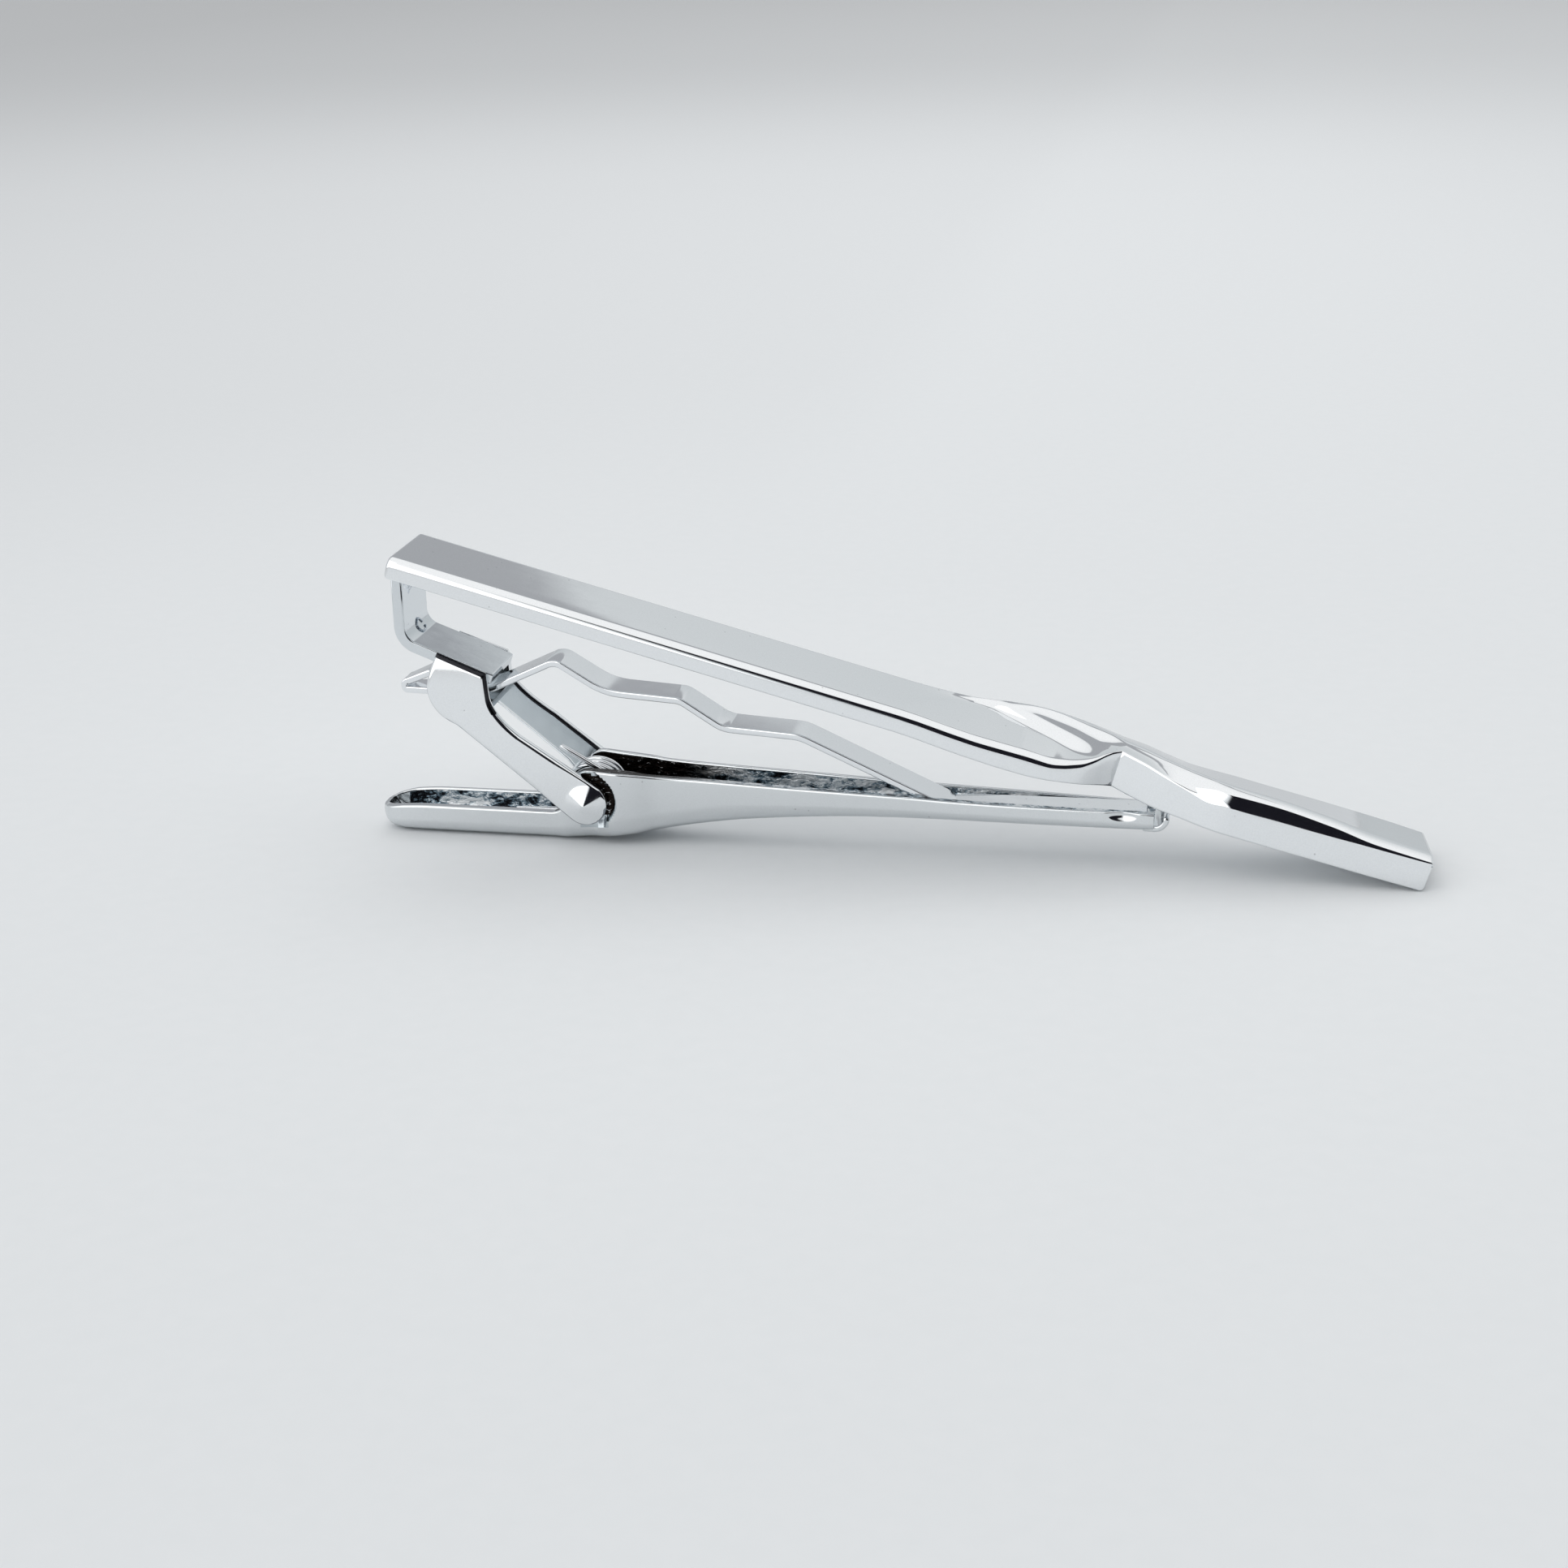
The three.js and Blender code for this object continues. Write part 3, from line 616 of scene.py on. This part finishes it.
def build_bracket():
    """The strap that hangs under the bar's end and turns in above the cradle."""
    middle = BRACKET_THICK * 0.535  # the leg slopes, so its middle is a little over half the sheet down
    corners = [
        (POST_X, under_bar(POST_X) - 0.05),
        (POST_X + 0.02, leg_top(POST_X) - middle + 0.02, BRACKET_BEND),
        (LEG_END_X, leg_top(LEG_END_X) - middle),
    ]
    edge = 0.11
    bracket = strip("bracket_strap", corners, BRACKET_THICK, BRACKET_HALF, edge, [BRACKET_SHADED_CHROME])
    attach(bracket, "clip_frame")
    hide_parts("bracket")


def build_fillet():
    """The solder between the bracket's post and the bar."""
    left = POST_X + BRACKET_THICK / 2
    top = under_bar(left) - 0.03
    rings = []
    for y in evenly(-1.85, 1.85, 0.16):
        fade = math.sqrt(max(0.04, 1 - (y / 1.9) ** 4))
        wave = 1 + 0.12 * math.sin(y * 5.1) + 0.07 * math.sin(y * 11.3)
        drop, reach = 1.05 * fade * wave, 1.1 * fade * wave
        curve = []
        for k in range(9):
            t = k / 8
            px = left + 2 * t * (1 - t) * 0.12 * reach + t * t * reach
            pz = top - (1 - t) ** 2 * drop - 2 * t * (1 - t) * 0.14 * drop
            curve.append((px, y, pz - BAR_FALL * (px - left)))
        rings.append([*curve, (left - 0.12, y, top + 0.02), (left - 0.12, y, top - drop)])
    fillet = loft("solder_joint", rings, [SOLDER_METAL], 50.0)
    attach(fillet, "clip_frame")
    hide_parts("solder_fillet")


def build_trickle():
    """A stray curl of solder on the hollow side of the bracket's bend."""
    bend_spot = np.array((0.605, 11.70))
    inward, along = np.array((0.824, 0.567)), np.array((0.567, -0.824))
    hollow_radius = BRACKET_BEND - BRACKET_THICK / 2
    trickle = []
    for k in range(31):
        a = math.radians(15 + 11 * k)
        reach = 0.36 * math.sin(a) * (1 + 0.15 * math.sin(3 * a))
        lift = 0.03 + reach * reach / (2 * hollow_radius)
        spot = bend_spot + reach * along + lift * inward
        trickle.append((spot[0], 0.22 + 0.48 * math.cos(a), spot[1]))
    stray = tube("stray_solder", trickle, 0.06, [SOLDER_METAL])
    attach(stray, "clip_frame")


# ---- the cradle ----------------------------------------------------------------------------------
ARM_ANGLE = math.radians(-39.5)
ALONG = np.array((math.cos(ARM_ANGLE), math.sin(ARM_ANGLE)))
OUT = np.array((ALONG[1], -ALONG[0]))
PIVOT = np.array((PIVOT_X, PIVOT_Z))


def bend(start, middle, end, count=12):
    ts = [k / count for k in range(1, count + 1)]
    start, middle, end = (np.array(p, float) for p in (start, middle, end))
    return [(1 - t) ** 2 * start + 2 * t * (1 - t) * middle + t * t * end for t in ts]


def plate_outline(trim, elbow):
    """The side plate's outline; `trim` narrows the arm below, `elbow` is where it meets the head."""
    peak = (2.25, leg_top(2.25) + 0.02)
    corner = np.array((5.0, leg_top(5.0) + 0.02))
    lower = PIVOT - 8.2 * ALONG + (ARM_END_RADIUS - trim) * OUT
    hip = (2.4 + 0.3 * trim, 7.3 + 0.3 * trim)
    path = [np.array(peak)]
    path += bend(peak, (1.78, 10), (1.62, 9.1))
    path += bend((1.62, 9.1), (1.55, 8.1), hip)
    path += bend(hip, np.array(hip) * 0.4 + lower * 0.6 + OUT * 0.05, lower)
    if trim > 0:
        path.append(PIVOT - 2.2 * ALONG + (ARM_END_RADIUS - trim) * OUT)
    first = math.atan2(OUT[1], OUT[0])
    for k in range(49):
        a = first + math.radians(176) * k / 48
        path.append(PIVOT + ARM_END_RADIUS * np.array((math.cos(a), math.sin(a))))
    path.append(np.array(elbow))
    path += bend(elbow, (5.15, 7.6 + 0.5 * trim), (5.12, 8.7), 16)
    path += [corner + (0.02, -0.18), corner, np.array(peak)]
    return path


def build_plate(name, side, trim, elbow):
    """A stamped side plate, as a sheet between its two edges, with rounded rims and a crimped head.

    The front plate (side -1) has a painted shadow line along its crimped edge and painted shade along its
    lower edge. The rear one's inside is matt, tinted darker as painted shade, in a bright rim and a painted
    dark line.
    """
    metals = [CRADLE_METAL, SHADOW_LINE_METAL, MATT_SHADED_METAL, LOW_EDGE_SHADE_METAL]
    bright, dark, satin_shade, low_edge_shade = range(len(metals))
    outline = np.array(plate_outline(trim, elbow))
    local = np.stack([(outline - PIVOT) @ ALONG, (outline - PIVOT) @ OUT], 1)
    low, high = local[:, 0].min(), local[:, 0].max()
    close = [0.0, 0.012, 0.035, 0.07, 0.11, 0.16]
    stations = [low + 0.004 + c for c in close]
    stations += evenly(low + 0.24, high - 0.24, 0.075)
    stations += [high - 0.004 - c for c in reversed(close)]
    seg_a, seg_b = local[:-1], local[1:]

    def edge_distance(points):
        delta = seg_b - seg_a
        length = (delta**2).sum(1)
        t = ((points[:, None] - seg_a) * delta).sum(2) / np.maximum(length, 1e-12)
        near = seg_a + np.clip(t, 0, 1)[..., None] * delta
        return np.sqrt(((points[:, None] - near) ** 2).sum(2)).min(1)

    columns = 40
    outer, inner, outer_marks, inner_marks = [], [], [], []
    for a in stations:
        hits = []
        for p, q in zip(seg_a, seg_b):
            if (p[0] - a) * (q[0] - a) <= 0 and p[0] != q[0]:
                hits.append(p[1] + (q[1] - p[1]) * (a - p[0]) / (q[0] - p[0]))
        left, right = min(hits), max(hits)
        width = right - left
        fixed = [0.0, 0.012, 0.035, 0.08, 0.15, 0.24]
        scale = min(1.0, width * 0.4 / fixed[-1])
        spots = [left + d * scale for d in fixed]
        middle = np.linspace(spots[-1], right - fixed[-1] * scale, columns - 10)[1:-1]
        spots = [*spots, *middle, *[right - d * scale for d in reversed(fixed)]]
        points = np.array([(a, b) for b in spots])
        gap = edge_distance(points)
        rim = 0.13 + 0.13 * np.clip((np.hypot(*points.T) - 1.4) / 1.5, 0, 1)
        drop = rim - np.sqrt(np.maximum(0, rim**2 - np.maximum(0, rim - gap) ** 2))
        flat = PIVOT + points[:, :1] * ALONG + points[:, 1:] * OUT
        from_pivot = np.hypot(*(flat - PIVOT).T)
        cone = CONE_HEIGHT * np.clip(1 - from_pivot / CONE_RADIUS, 0, 1)
        head = np.clip((flat[:, 1] - 8.6) / 2.2, 0, 1)
        lean = 0.26 * head**2
        y_out = PLATE_OUT - drop + cone - lean
        y_in = PLATE_IN + 0.5 * drop - lean * 0.35
        x, z = flat.T
        on_head = (z > leg_top(x) - 0.2) | ((x > 4.6) & (z > 7.6))
        along, across = points.T
        low_edge = (across > 0.5) | ((along > 0.2) & (across > -0.7))
        high_line = (across < 0) & (along < -1.2) & (gap > 0.14) & (gap < 0.26)
        # Painted shade along the front plate's lower edge.
        front = np.where(low_edge & (gap < 0.09), low_edge_shade, bright)
        # Painted shadow along the front plate's head where it meets the leg.
        outer_marks.append(np.where(on_head & (gap < 0.15), dark, front))
        # On the rear plate's inside: a painted dark line, and a darker tint away from the rim as painted
        # shade.
        inner_marks.append(np.where(high_line, dark, np.where(gap < 0.2, bright, satin_shade)))
        outer.append([(x, side * y, z) for (x, z), y in zip(flat, y_out)])
        inner.append([(x, side * y, z) for (x, z), y in zip(flat, y_in)])
    rings = [[*o, *reversed(i)] for o, i in zip(outer, inner)]
    size = 2 * columns
    marks = []
    plain = [bright] * columns
    for outside, inside in zip(outer_marks[:-1], inner_marks):
        marks += [int(m) for m in outside] if side < 0 else plain
        marks += [int(m) for m in reversed(inside)] if side > 0 else plain
    marks += [bright, bright]
    points = [p for ring in rings for p in ring]
    return make_piece(name, points, loft_faces(len(rings), size), metals, marks, 40.0)


def build_cradle():
    """The two side plates, crimped round the bracket's leg, and the web that the leaf slides over."""
    front = build_plate("cradle_front", -1, 0.0, (6.75, 6.36))
    rear = build_plate("cradle_rear", 1, 0.5, (7.6, 6.25))
    web_path = [(2.35, 7.66), (3.5, 7.6, 2), (4.79, 7.5)]
    web_thick, web_edge = 0.4, 0.05
    web = strip("cradle_web", web_path, web_thick, PLATE_IN + 0.05, web_edge, [CRADLE_METAL])
    for piece in (front, rear, web):
        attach(piece, "clip_frame")
    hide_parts("cradle")


def build_pin():
    """The pin, turned, with rounded ends and a shallow groove beside each ear."""
    half = 2.3
    groove = PIN_RADIUS - 0.015
    profile = [(0.02, 0.0), (0.34, 0.0), (0.46, 0.03), (0.54, 0.08), (groove, 0.14), (PIN_RADIUS, 0.2)]
    profile += [(PIN_RADIUS, 0.62), (groove, 0.65), (groove, 0.7), (PIN_RADIUS, 0.73), (PIN_RADIUS, half)]
    turned = [(r, d - half) for r, d in profile] + [(r, half - d) for r, d in reversed(profile[:-1])]
    angles = [2 * math.pi * k / 48 for k in range(48)]
    rings = []
    for r, y in turned:
        rings.append([(PIVOT_X + r * math.cos(a), y, PIVOT_Z + r * math.sin(a)) for a in angles])
    pin = loft("pin", rings, [PIN_METAL])
    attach(pin, "clip_frame")
    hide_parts("pivot_pin")


# ---- the lever -----------------------------------------------------------------------------------
# Along the lever: bottom, rim and half width.
LEVER_SHAPE = columns_of(
    [
        [-2, 0.95, 1.3, 0.35],
        [-1.96, 0.8, 1.31, 0.6],
        [-1.8, 0.5, 1.34, 0.95],
        [-1.6, 0.3, 1.4, 1.2],
        [-1.3, 0.16, 1.46, 1.4],
        [-0.9, 0.07, 1.54, 1.56],
        [-0.5, 0.02, 1.6, 1.64],
        [1, 0, 1.68, 1.7],
        [8.2, 0, 1.7, 1.76],
        [9, 0.02, 2.1, 1.94],
        [9.8, 0.1, 4.1, 2],
        [10.4, 0.18, 4.32, 2.06],
        [11.3, 0.28, 4.35, 2.3],
        [11.9, 0.35, 4.33, 2.36],
        [12.9, 0.48, 4.25, 2.24],
        [14.2, 0.7, 4.04, 1.84],
        [16.5, 1.13, 3.93, 1.72],
        [19, 1.5, 3.82, 1.7],
        [22, 1.8, 3.7, 1.7],
        [25, 2, 3.6, 1.7],
        [28, 2.1, 3.5, 1.7],
        [31, 2.15, 3.38, 1.75],
        [35, 2.17, 3.32, 1.84],
        [41.2, 2.2, 3.28, 1.9],
        [41.5, 2.22, 3.26, 1.88],
    ]
)


LEVER_START, LEVER_END, HOLLOW_START = -2.0, 41.5, -1.72
EARS_START, SWELLING_START = 8.3, 10.4
WALL_POINTS = 18
DENT_X, DENT_Z, DENT_LENGTH, DENT_HEIGHT, DENT_DEPTH = 39.85, 3.12, 0.95, 0.36, 0.16


def pressed(x, y, z):
    """The outside of the wall, pressed in round the arm's end and at the small dent near the tip."""
    offset = np.array((x, z)) - PIVOT - RECESS_SHIFT
    back = min(max(-(offset @ ALONG), 0.0), 8.0)
    gap = float(np.linalg.norm(offset + back * ALONG))
    t = min(1.0, max(0.0, (gap - RECESS_RADIUS + 0.07) / 0.14))
    half = abs(y)
    if y > 0:
        half = min(half, RECESS_HALF - 0.04)
    if half > RECESS_HALF:
        half = RECESS_HALF + (half - RECESS_HALF) * t * t * (3 - 2 * t)
    reach = ((x - DENT_X) / DENT_LENGTH) ** 2 + ((z - DENT_Z) / DENT_HEIGHT) ** 2
    if y < 0 and reach < 1:
        half -= DENT_DEPTH * (1 - reach) ** 2
    return math.copysign(half, y)


def rear_rim(x):
    """The rear wall's rim, a little lower than the front one behind the swelling."""
    return max(4.31 - 0.1 * (x - 10.6), 4.02 - 0.047 * (x - 13.5))


def lever_ring(x):
    """The channel's section: its outside, its two rims and its inside. At the tab's nose it is solid."""
    bottom, rim, half = LEVER_SHAPE(x)
    rear_top = min(rim, rear_rim(x)) if x > SWELLING_START else rim
    height = rim - bottom
    hollow = min(1.0, max(0.0, (x - HOLLOW_START) / 0.7))
    hollow = math.sqrt(hollow * (2 - hollow))
    wall = LEVER_WALL * (1 + 0.5 * (1 - hollow))
    wall = min(wall, half * 0.55)
    floor = rim - max(0.012, (height - LEVER_WALL) * hollow)
    inner = max(min(half, RECESS_HALF) - wall, 0.08)
    corner = min(1.2, half * 0.68, height * 0.75)
    round_in = min(0.85 if x < 9 else 0.6, inner * 0.6, max(0.01, (rim - floor) * 0.8))
    edge = min(0.13, wall * 0.4)
    outline = [(inner, rear_top), (-half, rim), (-half, bottom), (half, bottom), (half, rear_top)]
    outside = softened(outline, [edge, edge, corner, corner, edge], 6)[7:]
    walls = [outside[:7], outside[7:21], outside[21:]]
    steps = [k / WALL_POINTS for k in range(1, WALL_POINTS)]
    front = [walls[0][-1] + (walls[1][0] - walls[0][-1]) * t for t in steps]
    rear = [walls[1][-1] + (walls[2][0] - walls[1][-1]) * t for t in steps]
    skin = [*walls[0], *front, *walls[1], *rear, *walls[2]]
    skin = [(pressed(x, y, z), z) for y, z in skin]
    corners = [(half, rear_top), (inner, rear_top), (inner, floor), (-inner, floor), (-inner, rim)]
    inside = softened(corners, [edge, edge, round_in, round_in, edge], 6)[7:]
    return [(x, y, z) for y, z in [*skin, *inside]], len(skin)


def recess_mark(x, z, bright, rough, satin_shade):
    """The near wall beside the arm's round end, in painted shade: dark rough plating in front, a darker matt
    plating below it.
    """
    across, up = x - PIVOT_X - RECESS_SHIFT[0], z - PIVOT_Z - RECESS_SHIFT[1]
    gap = math.hypot(across, up)
    if across <= -0.6 or not 1.0 < gap < RECESS_RADIUS + 0.1:
        return bright
    below = max(0.0, math.degrees(math.atan2(-up, across)))
    # Painted shadow: the crescent in front gets the dark rough plating.
    if below < 42 and gap < RECESS_RADIUS + 0.03 - 0.005 * below:
        return rough
    return satin_shade


def build_lever():
    """The pressed channel, bright outside and rough inside, and the turned-up lip at its tip."""
    xs = [LEVER_START, -1.98, -1.95, *evenly(-1.9, 1.0, 0.05), *evenly(1.3, 8.2, 0.3)]
    xs += [*evenly(8.35, 13.2, 0.05), *evenly(13.3, 14.6, 0.1), *evenly(14.8, 38.8, 0.25)]
    xs += evenly(38.9, LEVER_END, 0.1)
    sections = [lever_ring(x) for x in xs]
    rings = [points for points, _ in sections]
    skin = sections[0][1]
    size = len(rings[0])
    points = [p for ring in rings for p in ring]
    faces = loft_faces(len(rings), size)
    metals = [LEVER_SHADED_CHROME, ROUGH_INSIDE_AND_RECESS_SHADE, MATT_SHADED_METAL]
    bright, rough, satin_shade = range(len(metals))
    rim_points = 6
    rear_wall = range(skin + rim_points, skin + rim_points + 3)
    marks = []
    for x, ring in zip(xs[:-1], rings):
        for i, (_, y, z) in enumerate(ring):
            inside = i >= skin + rim_points and x > EARS_START or i in rear_wall and x > -1.1
            mark = rough if inside else bright
            # Painted shade in the recess round the arm's end, on the front wall's outside.
            if i < skin and y < 0:
                mark = recess_mark(x, z, bright, rough, satin_shade)
            marks.append(mark)
    marks += [bright, bright]
    lever = make_piece("lever_channel", points, faces, metals, marks, 42.0)
    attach(lever, "lever_arm")
    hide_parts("lever")

    lip_path = [(40.9, 2.37), (42.12, 2.37, 0.62), (42.16, 3.05)]
    lip_half, lip_edge = 1.72, 0.12
    lip = strip("lever_lip", lip_path, LEVER_WALL, lip_half, lip_edge, [LEVER_SHADED_CHROME])
    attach(lip, "lever_arm")


# ---- the return spring ---------------------------------------------------------------------------
def build_spring():
    """The coil on the pin, with a leg along each part of the clasp. It twists between the two."""
    first = math.radians(60)
    last = math.radians(-90) - (COIL_TURNS - 1) * 2 * math.pi
    start_y = -COIL_PITCH * (first - last) / (4 * math.pi)

    def on_coil(angle, y):
        return np.array(
            (
                PIVOT_X + COIL_RADIUS * math.cos(angle),
                y,
                PIVOT_Z + COIL_RADIUS * math.sin(angle),
            )
        )

    away = np.array((-math.sin(first), 0, math.cos(first)))
    cradle_leg = [on_coil(first, start_y) + away * reach for reach in (2.9, 2.2, 1.5, 0.8, 0.3)]
    count = 40 * COIL_TURNS
    coil = [
        on_coil(first + (last - first) * k / count, start_y * (1 - 2 * k / count))
        for k in range(count + 1)
    ]
    lever_leg = [
        on_coil(last, -start_y) + np.array((-reach, 0, -0.03 * reach))
        for reach in (0.4, 1.2, 2.2, 3.5, 5)
    ]
    spring = tube("return_spring", [*cradle_leg, *coil, *lever_leg], WIRE_RADIUS, [WIRE_METAL])
    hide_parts("torsion_spring")
    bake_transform(spring)


# ---- the gripper leaf ----------------------------------------------------------------------------
def build_leaf():
    """The wavy strip from its hook in the cradle down to the lever's tip, with a bend at FLEX_X, where the
    leaf_flex joint is.
    """
    corners = [
        (1.45, 9.36),
        (-0.3, 8.58, 0.22),
        (-0.22, 8.2, 0.18),
        (3.6, 8.28, 1.5),
        (5.1, 8.66, 0.9),
        (8.6, 10.3, 0.9),
        (11.35, 8.62, 4.0),
        (15.6, 8.32, 1.3),
        (17.95, 6.82, 2.0),
        (22.25, 6.52, 2.5),
        (FLEX_X + 0.1, FLEX_Z + 0.02, 1.2),
        (41.1, 2.76),
    ]

    def narrowed(x):
        """The share of its full width that the leaf has at x, less towards its hook."""
        return 1 - 0.42 * min(1.0, max(0.0, (2.2 - x) / 1.6))

    edge = 0.1
    leaf = strip("gripper_leaf", corners, LEAF_THICK, LEAF_HALF, edge, [LEAF_METAL], width=narrowed)
    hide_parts("gripper_wave", "gripper_foot")
    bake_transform(leaf)


build_bar()
build_bracket()
build_fillet()
build_trickle()
build_cradle()
build_pin()
build_lever()
build_spring()
build_leaf()
